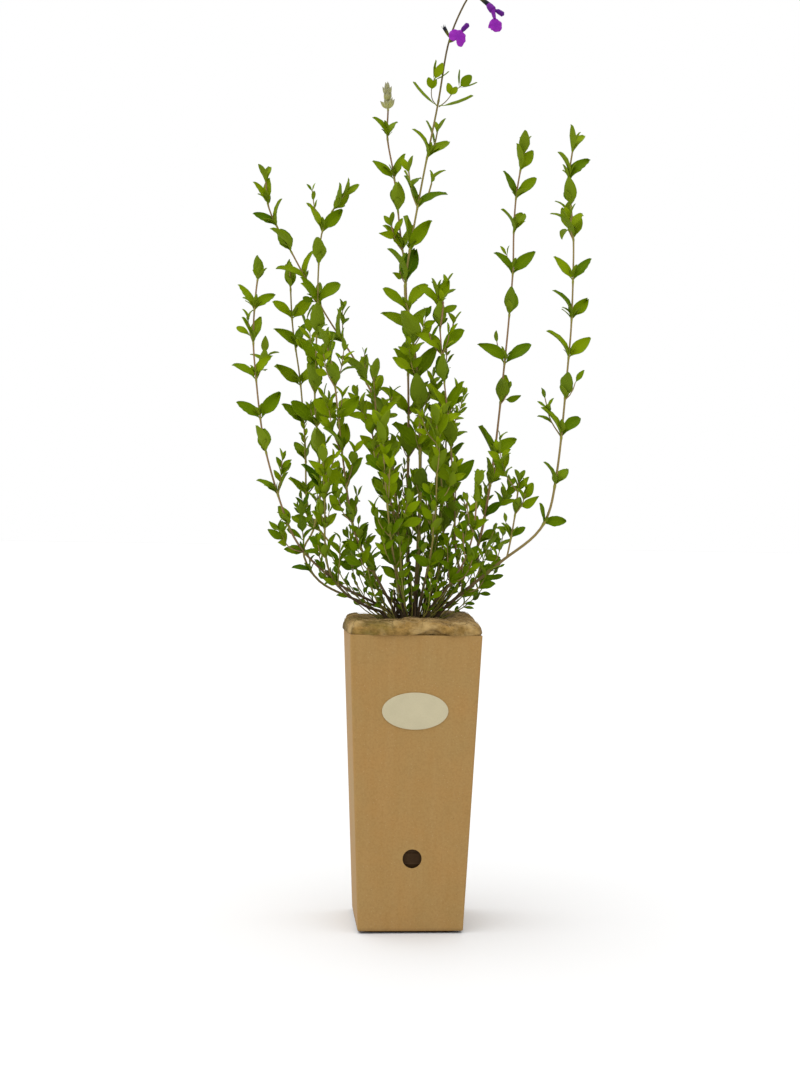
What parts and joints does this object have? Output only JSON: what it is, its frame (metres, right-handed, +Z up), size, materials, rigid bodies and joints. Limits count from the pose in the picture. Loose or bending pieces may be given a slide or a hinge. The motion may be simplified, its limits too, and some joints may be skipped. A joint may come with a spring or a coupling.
{
  "type": "potted salvia",
  "caption": "Leafy salvia with violet flowers on thin upright stems, growing in a deep tapered square pot inside a card sleeve, with a fibre pad over its compost.",
  "frame": {"origin": "centre of the pot's underside, where it stands", "axes": "+Z up along the pot's middle line; -Y towards the sleeve's front, which carries the label and the finger hole; +X to the right seen from the front"},
  "size_m": [0.2704, 0.1348, 0.727],
  "materials": {
    "card": "matte brown kraft card",
    "label_paper": "smooth cream paper",
    "pot_plastic": "dark satin",
    "compost": "rough and crumbly",
    "fibre": "felted plant fibre",
    "leaf": "soft leaf green, satin",
    "petal": "velvety violet",
    "bud": "downy pale green"
  },
  "bodies": {
    "root": {"sleeve": "card", "label": "label_paper", "pot": "pot_plastic", "soil": "compost", "mat": "fibre", "bloom_front": "petal", "bloom_hanging": "petal", "bud_spike": "bud", "stem_far_left": "leaf", "stem_back_left": "leaf", "stem_left_middle": "leaf", "stem_back_far_left": "leaf", "stem_front_left": "leaf", "stem_bud_spike": "leaf", "stem_flowering": "leaf", "stem_right": "leaf", "stem_far_right": "leaf", "stem_low_left": "leaf", "stem_woody_middle": "leaf", "stem_back_right": "leaf", "stem_front_middle": "leaf", "stem_front_right": "leaf", "stem_woody_right": "leaf", "stem_low_right": "leaf"}
  },
  "joints": []
}
